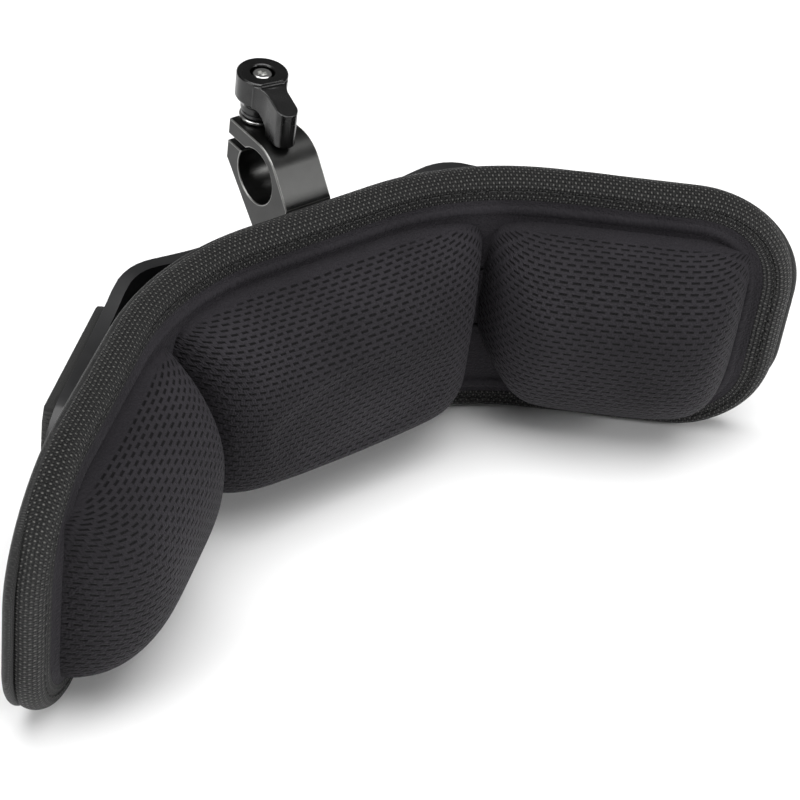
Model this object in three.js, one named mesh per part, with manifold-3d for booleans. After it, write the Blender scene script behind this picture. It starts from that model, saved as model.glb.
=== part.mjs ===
// Body support pad for a camera rig: a curved cushion with three moulded pillows on a bent
// aluminium plate, and a split clamp for a 15 mm rod that closes with a ratchet lever.
// Millimetres, +Z up, +X along the middle of the pad, pillows facing -Y, clamp behind them.
import * as THREE from "three";
import { mergeVertices } from "three/addons/utils/BufferGeometryUtils.js";
import Module from "manifold-3d";

const wasm = await Module();
wasm.setup();

// ---------- Driving dimensions ----------

const GAP = 0.3; // clearance between pieces that touch
const DEG = Math.PI / 180;
const OVERCUT = 1; // how far a cutting tool runs past the face that it opens
const OVERLAP = 0.5; // how far pieces run into each other before they are joined
const BUNCHING = 0.25; // how strongly the columns of a long sheet crowd towards its ends
const WALL_BUNCHING = 0.9; // the same for a pillow, whose walls are steep

// The cushion is a flat rounded rectangle wrapped on a bent path. s runs along the path, z up,
// and d is the distance in front of the middle layer (towards the body that leans on it).
// The pad's own middle stands a little above z = 0, where the pillows, plate and straps have theirs.
const PAD = { half: 136.4, halfHeight: 39, corner: 31.2, z: 1.3 };
const PAD_BEND = { apex: 45.2, angle: 39 * DEG, radius: 74.5, back: 0 };
const COVER_EDGE = 2.2; // how far the covers stay inside the pad's outer edge
const FRONT = { inner: 0.9, outer: 3.0 }; // front flange's two faces, as d
const BOARD = { inset: 6.5, half: 0.6 };
const BACK = { inner: -0.9, rim: -3.0, crown: -4.2, crownFrom: 11, crownRun: 9 };
const SKIN = { thick: 2.2, rim: 1.2, ease: 0.5 }; // pillow cover, its edge height and inner clearance
const FOAM = { shrink: 4.5, rim: 0.8, ease: 1.6 }; // foam block, its inset, edge height and clearance
const PILLOWS = [
  { name: "left", s: -87.2, halfS: 35.2, halfZ: 28.7, rise: 22.5, low: 2.8 },
  { name: "middle", s: 0, halfS: 50.5, halfZ: 29.6, rise: 24, low: 4.5 },
  { name: "right", s: 87.2, halfS: 35.2, halfZ: 28.7, rise: 22.5, low: 2.8 },
];
// Exponents of a pillow's shape. A higher one gives a squarer outline or a flatter top. Each
// pillow has its own for its lower half, which is fuller than the upper.
const PILLOW = { outline: 6, along: 4.5, upper: 2.2, edge: 16 };
const BINDING = { roll: 4.5, flange: 7.3, slot: 3.3, slotDepth: 1.2, lip: 4.3 };
const RING = { arc: 8, side: 22, end: 2 }; // steps of the binding in a corner, a side and an end

const PLATE_BEND = { apex: 49.4, angle: 41 * DEG, radius: 20.4, back: 10.9 };
const PLATE = { half: 108.7, thick: 3.2, top: 30.6, tipTop: 29.4, corner: 12 };
const STRAP = { from: 57.5, to: 98.5, halfHeight: 26.5, outer: 3.2, inner: 1.1, turn: 2.2 };
const TAPE = { s: 25, halfS: 14, halfZ: 22, thick: 1.35 };

// The clamp. y and z are counted from the middle of its bore.
const BORE = { x: 6, y: 25.7, z: 34.1, r: 7.5 };
const CLAMP = { width: 13.9, wall: 10.2, back: 12.8, face: -14.5, foot: -30, footBack: -8 };
const CLAMP_NOSE = 38 * DEG; // how far above the level the round nose gives way to the sloping arm
const SLOT = { low: 3.6, high: 5.6 };
const CHAMFER = 0.45;
const PINCH = { y: 9.8, hole: 2.15, stud: 1.9, end: -3.4 };
const CLAMP_SCREWS = [
  { name: "upper", z: -10, length: 8 },
  { name: "lower", z: -24, length: 5 },
];
const M4 = { shank: 1.95, head: 3.7, headRim: 0.4, headDepth: 2.2, seat: 0.2, hole: 2.25 };
const M4_HEX = { r: 1.25, depth: 1.4 };

// The lever. Heights are counted from the clamp's top face, radii from the lever's axis.
const WASHER = { r: 5.1, low: 0.3, high: 1.3, hole: 2.2 };
const HUB = { collar: 4.7, low: 1.6, high: 2.7, teethHigh: 5.5, boss: 2.6, top: 6.3, tap: 1.5 };
const TEETH = { count: 12, hubRoot: 3.3, hubTip: 3.8, socketTip: 3.55, socketRoot: 4.1 };
const HEAD = { r: 6.6, top: 13.7, skirt: 6.6, neck: 4.9, mouth: 4.15, low: 3.0, ceiling: 6.6, web: 7.3 };
const RECESS = { r: 3.1, webHole: 1.7 };
const ARM = { turn: -98 * DEG, root: 12.9, reach: 16.8, tipTop: 10.6, tipLow: 1.0, half: 2.85 };
const CAP = { r: 2.5, low: 11.6, top: 13.2, shank: 1.25, end: 3.9, hex: 1.15, hexDepth: 1 };
const SPRING = { r: 2.15, wire: 0.22, turns: 3.5 };

// ---------- Materials ----------

const finish = (color, roughness, metalness) =>
  new THREE.MeshStandardMaterial({ color, roughness, metalness });
const MESH_CLOTH = finish(0x2b292d, 0.85, 0);
const WOVEN_NYLON = finish(0x1c1c1b, 0.8, 0);
const BACK_CLOTH = finish(0x2e2e2c, 0.85, 0);
const FOAM_GREY = finish(0x55555a, 0.95, 0);
const BOARD_PLASTIC = finish(0x1a1a1a, 0.6, 0);
const ELASTIC = finish(0x4a4a47, 0.9, 0);
const TAPE_NYLON = finish(0x161616, 0.95, 0);
const PLATE_PAINT = finish(0x19191a, 0.5, 0.2);
const ANODISED = finish(0x3a3a3c, 0.35, 0.9);
const LEVER_BLACK = finish(0x202021, 0.4, 0.6);
const STEEL = finish(0xc9c9c9, 0.3, 1);
const DARK_STEEL = finish(0x3b3b3d, 0.45, 0.9);

const part = new THREE.Group();

function add(name, geometry, material, parent = part) {
  const mesh = new THREE.Mesh(geometry, material);
  mesh.name = name;
  parent.add(mesh);
  return mesh;
}

// ---------- Solids ----------

function solidOf(geometry) {
  const g = geometry.clone().deleteAttribute("normal").deleteAttribute("uv");
  g.clearGroups();
  const merged = mergeVertices(g, 1e-4);
  return new wasm.Manifold(
    new wasm.Mesh({
      numProp: 3,
      vertProperties: new Float32Array(merged.attributes.position.array),
      triVerts: new Uint32Array(merged.index.array),
    }),
  );
}

function geometryOf(solid) {
  const { vertProperties, triVerts } = solid.getMesh();
  const g = new THREE.BufferGeometry();
  g.setAttribute("position", new THREE.BufferAttribute(vertProperties, 3));
  g.setIndex(new THREE.BufferAttribute(triVerts, 1));
  return g;
}

const cut = (base, ...tools) =>
  geometryOf(tools.reduce((solid, tool) => solid.subtract(solidOf(tool)), solidOf(base)));

const join = (...pieces) =>
  geometryOf(pieces.slice(1).reduce((solid, g) => solid.add(solidOf(g)), solidOf(pieces[0])));

// A turned piece on the Z axis, from a profile of [radius, height] that runs from low to high.
function turned(profile, segments = 32) {
  const points = profile.map(([r, z]) => new THREE.Vector2(r, z));
  return new THREE.LatheGeometry(points, segments).rotateX(Math.PI / 2);
}

const pin = (r, low, high, segments = 24) =>
  turned([[0, low], [r, low], [r, high], [0, high]], segments);

const hexPin = (inscribed, low, high) => pin(inscribed / Math.cos(30 * DEG), low, high, 6);

// ---------- Wrapping flat pieces on a bent path ----------

// Point at s along a path that is straight in the middle and turns forward on both sides.
function along(bend, s) {
  const tangent = bend.radius * Math.tan(bend.angle / 2);
  const start = bend.apex - tangent;
  const turn = Math.min(Math.max((Math.abs(s) - start) / bend.radius, 0), bend.angle);
  const before = Math.min(Math.abs(s), start);
  const after = Math.max(Math.abs(s) - start - bend.radius * bend.angle, 0);
  const x = before + bend.radius * Math.sin(turn) + after * Math.cos(turn);
  const y = bend.back - bend.radius * (1 - Math.cos(turn)) - after * Math.sin(turn);
  const side = Math.sign(s) || 1;
  return { x: side * x, y, nx: -side * Math.sin(turn), ny: -Math.cos(turn) };
}

function wrap(bend, s, d, z) {
  const p = along(bend, s);
  return [p.x + p.nx * d, p.y + p.ny * d, z];
}

// Moves every vertex of a geometry by a rule that gets its place and its uv.
function reshape(geometry, rule) {
  const place = geometry.attributes.position;
  const uv = geometry.attributes.uv;
  for (let i = 0; i < place.count; i++) {
    const here = [place.getX(i), place.getY(i), place.getZ(i)];
    place.setXYZ(i, ...rule(...here, uv?.getX(i), uv?.getY(i)));
  }
  return geometry;
}

// Half height of a rounded rectangle at s.
function halfHeightAt(shape, s) {
  const past = Math.max(Math.abs(s) - (shape.half - shape.corner), 0);
  const drop = shape.corner - Math.sqrt(Math.max(shape.corner ** 2 - past ** 2, 0));
  return shape.halfHeight - drop;
}

const insetShape = (shape, inset) => ({
  ...shape,
  half: shape.half - inset,
  halfHeight: shape.halfHeight - inset,
  corner: Math.max(shape.corner - inset, 1),
});

// Column places from -1 to 1 that crowd towards both ends.
const bunched = (u, share = BUNCHING) => (1 - share) * u + share * Math.sin((u * Math.PI) / 2);

// A sheet with a rounded rectangular outline. front and back give its faces as d at (s, z).
function sheet(bend, shape, front, back, columns, rows) {
  const box = new THREE.BoxGeometry(2, 2, 2, columns, rows, 1);
  return reshape(box, (u, v, w) => {
    const s = shape.half * bunched(u);
    const z = shape.z + halfHeightAt(shape, s) * v;
    return wrap(bend, s, w > 0 ? front(s, z) : back(s, z), z);
  });
}

// How far out a point lies in a pillow's outline: 0 in the middle, 1 on the outline.
const outness = (u, v) =>
  (Math.abs(u) ** PILLOW.outline + Math.abs(v) ** PILLOW.outline) ** (1 / PILLOW.outline);

// Height of a pillow above its base at (s, z), made smaller all round by shrink.
function rise(pillow, s, z, shrink = 0) {
  const u = Math.abs(s - pillow.s) / (pillow.halfS - shrink);
  const v = Math.abs(z) / (pillow.halfZ - shrink);
  const rho = outness(u, v);
  if (rho >= 1) return 0;
  const lengthways = Math.sqrt(1 - u ** PILLOW.along);
  const upright = Math.sqrt(1 - v ** (z > 0 ? PILLOW.upper : pillow.low));
  return (pillow.rise - shrink) * lengthways * upright * Math.sqrt(1 - rho ** PILLOW.edge);
}

// A lump over a pillow's outline, made smaller all round by shrink. top and bottom give its
// faces as d at (s, z).
function lump(pillow, shrink, top, bottom, columns, rows) {
  const box = new THREE.BoxGeometry(2, 2, 2, columns, rows, 1);
  return reshape(box, (x, y, w) => {
    const u = bunched(x, WALL_BUNCHING);
    const v = bunched(y, WALL_BUNCHING);
    const rho = outness(u, v);
    const fit = rho > 0 ? Math.max(Math.abs(u), Math.abs(v)) / rho : 1;
    const s = pillow.s + (pillow.halfS - shrink) * u * fit;
    const z = (pillow.halfZ - shrink) * v * fit;
    return wrap(PAD_BEND, s, w > 0 ? top(s, z) : bottom(s, z), z);
  });
}

// ---------- The cushion ----------

const COVERS = insetShape(PAD, COVER_EDGE);

add(
  "front_flange",
  sheet(PAD_BEND, COVERS, () => FRONT.outer, () => FRONT.inner, 40, 8),
  MESH_CLOTH,
);

// Each pillow is a hollow cover, open at its base, over a foam block.
const pillowBase = FRONT.outer + GAP;
for (const pillow of PILLOWS) {
  const outside = (s, z) => pillowBase + SKIN.rim + rise(pillow, s, z);
  const hollow = (s, z) => pillowBase + Math.max(rise(pillow, s, z, SKIN.thick) - SKIN.ease, 0);
  add("pillow_cover_" + pillow.name, lump(pillow, 0, outside, hollow, 24, 18), MESH_CLOTH);
  const filling = (s, z) => rise(pillow, s, z, FOAM.shrink) - FOAM.ease;
  const foamTop = (s, z) => pillowBase + FOAM.rim + Math.max(filling(s, z), 0);
  const foam = lump(pillow, FOAM.shrink, foamTop, () => pillowBase, 12, 10);
  add("foam_core_" + pillow.name, foam, FOAM_GREY);
}

add(
  "stiffener_board",
  sheet(PAD_BEND, insetShape(PAD, BOARD.inset), () => BOARD.half, () => -BOARD.half, 32, 2),
  BOARD_PLASTIC,
);

// The rear cover swells behind the board and thins to its rim.
function backFace(s, z) {
  const inside = Math.min(PAD.half - Math.abs(s), halfHeightAt(PAD, s) - Math.abs(z - PAD.z));
  const share = Math.min(Math.max((inside - BACK.crownFrom) / BACK.crownRun, 0), 1);
  return BACK.rim + (BACK.crown - BACK.rim) * Math.sin((share * Math.PI) / 2);
}

add("back_cover", sheet(PAD_BEND, COVERS, () => BACK.inner, backFace, 32, 10), BACK_CLOTH);

// A rounded rectangle as a closed row of [s, z]: corner arcs joined by stepped straight sides.
function outlinePoints(shape) {
  const corners = [[1, 1, 0], [-1, 1, 90], [-1, -1, 180], [1, -1, 270]];
  const arcs = corners.map(([sideS, sideZ, from]) =>
    Array.from({ length: RING.arc + 1 }, (_, i) => {
      const angle = (from + (90 * i) / RING.arc) * DEG;
      return [
        sideS * (shape.half - shape.corner) + shape.corner * Math.cos(angle),
        shape.z + sideZ * (shape.halfHeight - shape.corner) + shape.corner * Math.sin(angle),
      ];
    }),
  );
  return arcs.flatMap((arc, i) => {
    const [from, to] = [arc[RING.arc], arcs[(i + 1) % 4][0]];
    const steps = i % 2 ? RING.end : RING.side;
    const side = Array.from({ length: steps - 1 }, (_, k) => {
      const share = (k + 1) / steps;
      return [from[0] + (to[0] - from[0]) * share, from[1] + (to[1] - from[1]) * share];
    });
    return [...arc, ...side];
  });
}

// Binding section as [inset from the outer edge, d]: a roll over the edge, a flange on the
// front and a slot that takes both covers.
function bindingSection() {
  const roll = [];
  for (let i = 0; i <= 4; i++) {
    const a = (-90 + 45 * i) * DEG;
    roll.push([BINDING.roll * (1 - Math.cos(a)), BINDING.roll * Math.sin(a)]);
  }
  return [
    ...roll,
    [BINDING.flange, BINDING.lip],
    [BINDING.flange, BINDING.slot],
    [BINDING.slotDepth, BINDING.slot],
    [BINDING.slotDepth, -BINDING.slot],
    [BINDING.flange, -BINDING.slot],
    [BINDING.flange, -BINDING.lip],
  ];
}

const section = bindingSection();
const loops = section.map(([inset, d]) =>
  outlinePoints(insetShape(PAD, inset)).map(([s, z]) => wrap(PAD_BEND, s, d, z)),
);
const ringSteps = loops[0].length;
const ring = new THREE.PlaneGeometry(1, 1, ringSteps, section.length);
const around = (share, count) => Math.round(share * count) % count;
reshape(ring, (x, y, z, u, v) => loops[around(v, section.length)][around(u, ringSteps)]);
add("edge_binding", ring, WOVEN_NYLON);

// ---------- The plate and what lies on it ----------

// A block in (s, d, z) wrapped on a bend, with columns along s.
function block(bend, from, to, dLow, dHigh, zLow, zHigh, columns = 1) {
  const box = new THREE.BoxGeometry(to - from, zHigh - zLow, dHigh - dLow, columns, 1, 1);
  box.translate((from + to) / 2, (zLow + zHigh) / 2, (dLow + dHigh) / 2);
  return reshape(box, (s, z, d) => wrap(bend, s, d, z));
}

const plateOutline = { half: PLATE.half, halfHeight: PLATE.top, corner: PLATE.corner };
const plateBlank = reshape(new THREE.BoxGeometry(2, 2, 2, 44, 1, 1), (u, v, w) => {
  const s = PLATE.half * bunched(u);
  const taper = 1 - (1 - PLATE.tipTop / PLATE.top) * (Math.abs(s) / PLATE.half);
  return wrap(PLATE_BEND, s, w > 0 ? PLATE.thick : 0, halfHeightAt(plateOutline, s) * taper * v);
});

// The elastic goes through an upright slot near each end of its stretch.
function strapSlot(side, s) {
  const [from, to] = [s - STRAP.turn / 2 - GAP, s + STRAP.turn / 2 + GAP];
  const ends = [side * from, side * to].sort((a, b) => a - b);
  const half = STRAP.halfHeight + GAP;
  return block(PLATE_BEND, ...ends, -OVERCUT, PLATE.thick + OVERCUT, -half, half);
}

const strapEnds = [STRAP.from + STRAP.turn / 2, STRAP.to - STRAP.turn / 2];
const slots = [-1, 1].flatMap((side) => strapEnds.map((s) => strapSlot(side, s)));

// A tool along +Y at a clamp screw's place: local height 0 is the plate's front face.
const plateFront = PLATE_BEND.back - PLATE.thick;
const screwPlace = (g, z) => g.rotateX(-Math.PI / 2).translate(BORE.x, plateFront, BORE.z + z);
const screwHoles = CLAMP_SCREWS.map(({ z }) =>
  screwPlace(
    turned([
      [0, -OVERCUT],
      [M4.head + GAP + OVERCUT, -OVERCUT],
      [M4.hole, M4.headDepth - M4.seat],
      [M4.hole, PLATE.thick + OVERCUT],
      [0, PLATE.thick + OVERCUT],
    ]),
    z,
  ),
);

add("backing_plate", cut(plateBlank, ...slots, ...screwHoles), PLATE_PAINT);

for (const [side, label] of [[-1, "left"], [1, "right"]]) {
  const span = (from, to) => [side * from, side * to].sort((a, b) => a - b);
  const h = STRAP.halfHeight;
  const outer = block(PLATE_BEND, ...span(STRAP.from, STRAP.to), -STRAP.outer - GAP, -GAP, -h, h);
  const innerFace = PLATE.thick + GAP;
  const innerBack = innerFace + STRAP.inner;
  const inner = block(PLATE_BEND, ...span(STRAP.from, STRAP.to), innerFace, innerBack, -h, h);
  const turns = strapEnds.map((s) => {
    const width = span(s - STRAP.turn / 2, s + STRAP.turn / 2);
    return block(PLATE_BEND, ...width, -GAP - OVERLAP, innerFace + OVERLAP, -h, h);
  });
  add("elastic_strap_" + label, join(outer, inner, ...turns), ELASTIC);

  const loopFace = BACK.crown - GAP;
  const tape = span(TAPE.s - TAPE.halfS, TAPE.s + TAPE.halfS);
  const hookFace = PLATE.thick + GAP / 2;
  const z = TAPE.halfZ;
  add("loop_tape_" + label, block(PAD_BEND, ...tape, loopFace - TAPE.thick, loopFace, -z, z, 4), TAPE_NYLON);
  add("hook_tape_" + label, block(PLATE_BEND, ...tape, hookFace, hookFace + TAPE.thick, -z, z), TAPE_NYLON);
}

// ---------- The rod clamp ----------

// Side profile about the bore: flat top, round nose, slanted arm, foot, and the split at the back.
function clampProfile() {
  const r = CLAMP.wall;
  const slant = r * Math.SQRT1_2;
  const armLow = (r + CLAMP.face * Math.cos(CLAMP_NOSE)) / Math.sin(CLAMP_NOSE);
  const p = new THREE.Shape();
  p.moveTo(CLAMP.back, SLOT.high);
  p.lineTo(CLAMP.back, r);
  p.lineTo(0, r);
  p.absarc(0, 0, r, Math.PI / 2, Math.PI - CLAMP_NOSE, false);
  p.lineTo(CLAMP.face, armLow);
  p.lineTo(CLAMP.face, CLAMP.foot);
  p.lineTo(CLAMP.footBack, CLAMP.foot);
  p.lineTo(CLAMP.footBack, CLAMP.footBack - 2 * slant);
  p.lineTo(CLAMP.back, CLAMP.back - 2 * slant);
  p.lineTo(CLAMP.back, SLOT.low);
  const low = Math.asin(SLOT.low / BORE.r);
  const high = Math.asin(SLOT.high / BORE.r);
  p.absarc(0, 0, BORE.r, low, high, true);
  return p;
}

// Takes a profile drawn in (y, z) to its place, with its thickness along X.
const yzToPlace = new THREE.Matrix4().makeBasis(
  new THREE.Vector3(0, 1, 0),
  new THREE.Vector3(0, 0, 1),
  new THREE.Vector3(1, 0, 0),
);

const clampBlank = new THREE.ExtrudeGeometry(clampProfile(), {
  depth: CLAMP.width - 2 * CHAMFER,
  curveSegments: 16,
  bevelThickness: CHAMFER,
  bevelSize: CHAMFER,
  bevelOffset: -CHAMFER,
  bevelSegments: 1,
})
  .translate(0, 0, CHAMFER - CLAMP.width / 2)
  .applyMatrix4(yzToPlace)
  .translate(BORE.x, BORE.y, BORE.z);

const clampTop = BORE.z + CLAMP.wall;
const axisY = BORE.y + PINCH.y;
const onAxis = (g, z = 0) => g.translate(BORE.x, axisY, z);
const pinchHole = onAxis(pin(PINCH.hole, BORE.z - CLAMP.wall, clampTop + OVERCUT));
const tappedHoles = CLAMP_SCREWS.map(({ z, length }) =>
  screwPlace(pin(M4.hole, PLATE.thick - OVERCUT, PLATE.thick + GAP + length + OVERCUT), z),
);
add("rod_clamp_body", cut(clampBlank, pinchHole, ...tappedHoles), ANODISED);

for (const { name, z, length } of CLAMP_SCREWS) {
  const tip = PLATE.thick + GAP + length;
  const screw = turned([
    [0, 0],
    [M4.head, 0],
    [M4.head, M4.headRim],
    [M4.shank, M4.headDepth],
    [M4.shank, tip - CHAMFER],
    [M4.shank - CHAMFER, tip],
    [0, tip],
  ]);
  const key = hexPin(M4_HEX.r, -OVERCUT, M4_HEX.depth);
  add("clamp_screw_" + name, screwPlace(cut(screw, key), z), DARK_STEEL);
}

// ---------- The ratchet lever ----------

// A toothed pin on the axis: square teeth between a root and a tip radius.
function toothedPin(root, tip, low, high) {
  const outline = new THREE.Shape();
  const pitch = (2 * Math.PI) / TEETH.count;
  for (let i = 0; i < TEETH.count; i++) {
    const shares = [[root, 0], [root, 0.45], [tip, 0.55], [tip, 0.9]];
    for (const [r, share] of shares) {
      const angle = (i + share) * pitch;
      const [x, y] = [r * Math.cos(angle), r * Math.sin(angle)];
      if (i === 0 && share === 0) outline.moveTo(x, y);
      else outline.lineTo(x, y);
    }
  }
  const depth = high - low;
  return new THREE.ExtrudeGeometry(outline, { depth, bevelEnabled: false }).translate(0, 0, low);
}

add(
  "pinch_washer",
  onAxis(
    turned([
      [WASHER.hole, WASHER.low],
      [WASHER.r, WASHER.low],
      [WASHER.r, WASHER.high],
      [WASHER.hole, WASHER.high],
      [WASHER.hole, WASHER.low],
    ]),
    clampTop,
  ),
  STEEL,
);

// The stud, its collar and the toothed boss are one turned piece.
const studEnd = PINCH.end - CLAMP.wall;
const hub = join(
  turned([
    [0, studEnd],
    [PINCH.stud - CHAMFER, studEnd],
    [PINCH.stud, studEnd + CHAMFER],
    [PINCH.stud, HUB.low],
    [HUB.collar, HUB.low],
    [HUB.collar, HUB.high],
    [HUB.boss, HUB.high],
    [HUB.boss, HUB.top],
    [0, HUB.top],
  ]),
  toothedPin(TEETH.hubRoot, TEETH.hubTip, HUB.high - OVERLAP, HUB.teethHigh),
);
add("threaded_hub", onAxis(cut(hub, pin(HUB.tap, CAP.end - GAP, HUB.top + OVERCUT)), clampTop), DARK_STEEL);

// Side profile of the arm as [reach, height]: sloping top, upright tip, arched underside.
function armProfile() {
  const p = new THREE.Shape();
  p.moveTo(0, HEAD.skirt - 1);
  p.lineTo(HEAD.neck, HEAD.skirt - 1.6);
  p.quadraticCurveTo(ARM.reach - 7, HEAD.skirt - 2.2, ARM.reach - 2 * ARM.half, ARM.tipLow);
  p.lineTo(ARM.reach, ARM.tipLow);
  p.lineTo(ARM.reach, ARM.tipTop);
  p.lineTo(HEAD.r - 0.3, ARM.root);
  p.lineTo(0, ARM.root);
  return p;
}

function leverArm() {
  const bar = new THREE.ExtrudeGeometry(armProfile(), {
    depth: 2 * ARM.half,
    curveSegments: 6,
    bevelEnabled: false,
  });
  bar.translate(0, 0, -ARM.half).rotateX(Math.PI / 2);
  const tipCentre = ARM.reach - ARM.half;
  const plan = new THREE.Shape();
  plan.moveTo(0, -ARM.half);
  plan.lineTo(tipCentre, -ARM.half);
  plan.absarc(tipCentre, 0, ARM.half, -Math.PI / 2, Math.PI / 2, false);
  plan.lineTo(0, ARM.half);
  const rounded = new THREE.ExtrudeGeometry(plan, {
    depth: HEAD.top,
    curveSegments: 10,
    bevelEnabled: false,
  });
  return geometryOf(solidOf(bar).intersect(solidOf(rounded)));
}

const headBlank = turned(
  [
    [0, HEAD.low],
    [HEAD.neck, HEAD.low],
    [HEAD.neck, HEAD.low + 1.6],
    [HEAD.r - 0.6, HEAD.skirt - 0.5],
    [HEAD.r, HEAD.skirt + 0.4],
    [HEAD.r, HEAD.top - CHAMFER],
    [HEAD.r - CHAMFER, HEAD.top],
    [0, HEAD.top],
  ],
  48,
);
const handle = cut(
  join(headBlank, leverArm().rotateZ(ARM.turn)),
  pin(HEAD.mouth, HEAD.low - OVERCUT, HUB.high + 2 * GAP),
  toothedPin(TEETH.socketTip, TEETH.socketRoot, HEAD.low - OVERCUT, HUB.teethHigh + GAP),
  pin(TEETH.socketTip, HUB.teethHigh, HEAD.ceiling),
  pin(RECESS.webHole, HEAD.ceiling - OVERCUT, HEAD.web + OVERCUT),
  pin(RECESS.r, HEAD.web, HEAD.top + OVERCUT, 32),
);
add("lever_handle", onAxis(handle, clampTop), LEVER_BLACK);

const capScrew = turned([
  [0, CAP.end],
  [CAP.shank, CAP.end],
  [CAP.shank, CAP.low],
  [CAP.r, CAP.low],
  [CAP.r, CAP.top - 0.3],
  [CAP.r - 0.3, CAP.top],
  [0, CAP.top],
]);
const socket = hexPin(CAP.hex, CAP.top - CAP.hexDepth, CAP.top + OVERCUT);
add("lever_cap_screw", onAxis(cut(capScrew, socket), clampTop), STEEL);

// The spring holds the handle down on the teeth, between the screw head and the web.
class Helix extends THREE.Curve {
  getPoint(t, target = new THREE.Vector3()) {
    const angle = t * SPRING.turns * 2 * Math.PI;
    const low = HEAD.web + GAP + SPRING.wire;
    const high = CAP.low - GAP - SPRING.wire;
    return target.set(SPRING.r * Math.cos(angle), SPRING.r * Math.sin(angle), low + (high - low) * t);
  }
}
const wire = new THREE.Shape().absarc(0, 0, SPRING.wire, 0, 2 * Math.PI, false);
const spring = new THREE.ExtrudeGeometry(wire, {
  extrudePath: new Helix(),
  steps: Math.round(SPRING.turns * 12),
  curveSegments: 3,
  bevelEnabled: false,
});
add("lever_spring", onAxis(spring, clampTop), STEEL);

// ---------- Frame: standing on z = 0, centred over the origin ----------

const bounds = new THREE.Box3().setFromObject(part);
const middle = bounds.getCenter(new THREE.Vector3());
part.position.set(-middle.x, -middle.y, -bounds.min.z);

export default part;
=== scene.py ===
import math

import bmesh
import bpy
from mathutils import Matrix, Quaternion, Vector, noise


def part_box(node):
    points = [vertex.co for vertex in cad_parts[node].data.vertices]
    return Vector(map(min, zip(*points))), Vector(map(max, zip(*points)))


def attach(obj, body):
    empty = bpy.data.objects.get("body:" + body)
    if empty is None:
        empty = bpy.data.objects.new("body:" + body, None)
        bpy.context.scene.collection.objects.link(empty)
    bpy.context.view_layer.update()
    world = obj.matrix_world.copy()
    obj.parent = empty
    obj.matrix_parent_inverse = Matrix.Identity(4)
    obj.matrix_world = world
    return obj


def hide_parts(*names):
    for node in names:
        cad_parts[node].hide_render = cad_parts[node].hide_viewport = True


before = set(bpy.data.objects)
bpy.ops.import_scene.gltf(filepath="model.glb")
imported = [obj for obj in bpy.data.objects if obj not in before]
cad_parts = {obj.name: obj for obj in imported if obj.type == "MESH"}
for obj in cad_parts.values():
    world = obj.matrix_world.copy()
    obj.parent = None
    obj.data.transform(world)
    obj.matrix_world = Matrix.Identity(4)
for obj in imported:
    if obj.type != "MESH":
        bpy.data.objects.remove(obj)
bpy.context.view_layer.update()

scene = bpy.context.scene
MM = 0.001

# ---------- Places taken from the frame ----------

ring_low, ring_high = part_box("edge_binding")
_, plate_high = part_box("backing_plate")
clamp_low, clamp_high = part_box("rod_clamp_body")
washer_low, washer_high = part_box("pinch_washer")

ROLL = 4.5 * MM                      # half the pad's thickness at its rolled edge
PAD_Y = ring_high.y - ROLL           # the middle layer of the pad, at its middle
PAD_LIFT = 1.3 * MM                  # how far the pad's own middle is above the pillows' middle
PAD_Z = (ring_low.z + ring_high.z) / 2 - PAD_LIFT
PLATE_Y = plate_high.y               # the plate's flat back face
AXIS = (washer_low + washer_high) / 2   # the lever turns about Z through this point
CLAMP_TOP = clamp_high.z

# ---------- Driving sizes ----------

PAD = {
    "half": 136.4 * MM, "half_height": 39.0 * MM,
    "upper_corner": 31.2 * MM, "lower_corner": 27.0 * MM,
}
PAD_BEND = {"apex": 45.2 * MM, "angle": math.radians(39), "radius": 74.5 * MM, "back": PAD_Y}
PLATE_BEND = {"apex": 49.4 * MM, "angle": math.radians(41), "radius": 20.4 * MM, "back": PLATE_Y}
PLATE = {"half": 108.7 * MM, "thick": 3.2 * MM, "top": 30.6 * MM, "tip": 29.4 * MM, "corner": 12 * MM}
PLATE_SWELL = {"rise": 2.4 * MM, "s": 48 * MM, "spread": 15 * MM}   # it is taller near its bends
STRAP = {"from": 57.5 * MM, "to": 98.5 * MM, "half_height": 26.5 * MM, "outer": 3.4 * MM}
STRAP_SLOT = 1.4 * MM
# a and b are a pillow's half width and half height. low and low_corner are the exponents of its
# crown and of its outline's two corners, left and right, below its middle.
PILLOWS = (
    {"name": "left", "s": -87.3 * MM, "a": 35.7 * MM, "b": 29.3 * MM, "rise": 25.0 * MM,
     "low": 2.6, "low_corner": (6.0, 3.0)},
    {"name": "middle", "s": 0.0, "a": 51.2 * MM, "b": 29.8 * MM, "rise": 26.4 * MM,
     "low": 4.2, "low_corner": (4.5, 4.5)},
    {"name": "right", "s": 87.3 * MM, "a": 35.7 * MM, "b": 29.3 * MM, "rise": 25.0 * MM,
     "low": 2.6, "low_corner": (2.1, 3.2)},
)
FLANGE = 3.0 * MM                    # height of the flat flange above the middle layer
CLOTH = 1.2 * MM                     # thickness of the laminate


# ---------- Camera ----------

def place_camera():
    lens = bpy.data.cameras.new("camera")
    lens.sensor_width = 36
    lens.lens = 111.52
    camera = bpy.data.objects.new("camera", lens)
    scene.collection.objects.link(camera)
    azimuth, elevation, roll = (math.radians(angle) for angle in (-42.07, 39.69, 8.38))
    aim = Vector((
        -math.sin(azimuth) * math.cos(elevation),
        math.cos(azimuth) * math.cos(elevation),
        -math.sin(elevation),
    ))
    turn = aim.to_track_quat("-Z", "Y") @ Quaternion((0, 0, 1), roll)
    place = Vector((-0.31412, PAD_Y - 0.38820, PAD_Z + 0.39718))
    camera.matrix_world = Matrix.Translation(place) @ turn.to_matrix().to_4x4()
    scene.camera = camera


place_camera()


# ---------- Mesh work ----------

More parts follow.
